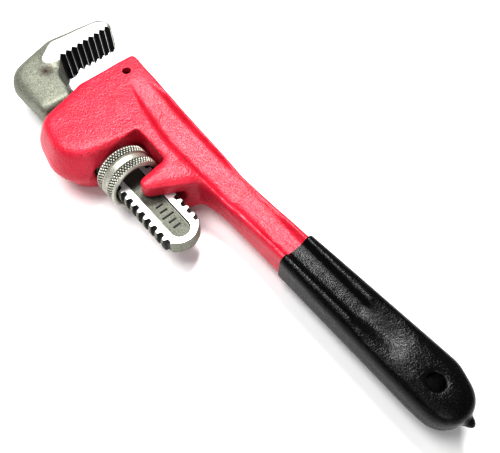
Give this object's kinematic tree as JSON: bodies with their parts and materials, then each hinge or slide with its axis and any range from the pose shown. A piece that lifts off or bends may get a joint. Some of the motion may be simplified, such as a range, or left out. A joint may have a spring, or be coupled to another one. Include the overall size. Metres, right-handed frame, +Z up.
{
  "type": "pipe wrench",
  "caption": "Heavy-duty straight pipe wrench with an adjusting nut, a sliding hook jaw, a pinned heel jaw and a dipped grip.",
  "frame": {"origin": "under the middle of the whole wrench's box, on the plane that the housing lies on", "axes": "+X along the shank towards the jaws, +Y from the handle towards the shank side, +Z up through the thickness"},
  "size_m": [0.2536, 0.067, 0.0278],
  "materials": {
    "red_paint": "gloss enamel over rough casting",
    "black_vinyl": "smooth dipped vinyl, satin",
    "forged_steel": "blasted forging with ground flats and blackened teeth",
    "toothed_steel": "ground flats with blackened teeth",
    "pin_steel": "dark oiled",
    "nut_steel": "knurled, bead blasted",
    "spring_steel": "blued"
  },
  "bodies": {
    "handle": {"handle_frame": "red_paint", "dipped_grip": "black_vinyl", "heel_jaw": "toothed_steel", "heel_jaw_pin": "pin_steel", "flat_spring": "spring_steel", "spring_rivet": "spring_steel", "coil_spring": "spring_steel"},
    "hook_jaw": {"hook_jaw": "forged_steel"},
    "nut": {"adjusting_nut": "nut_steel"}
  },
  "joints": [
    {"name": "nut_turn", "type": "hinge", "parent": "handle", "child": "nut", "pos_m": [0.037, 0.0101, 0.0139], "axis": [1, 0, 0], "range_deg": [-2169, 853]},
    {"name": "jaw_slide", "type": "slide", "parent": "handle", "child": "hook_jaw", "axis": [1, 0, 0], "range_m": [-0.01, 0.0255]}
  ],
  "couplings": [
    {"joint": "nut_turn", "follows": "jaw_slide", "rad_per_m": -1484.2}
  ]
}
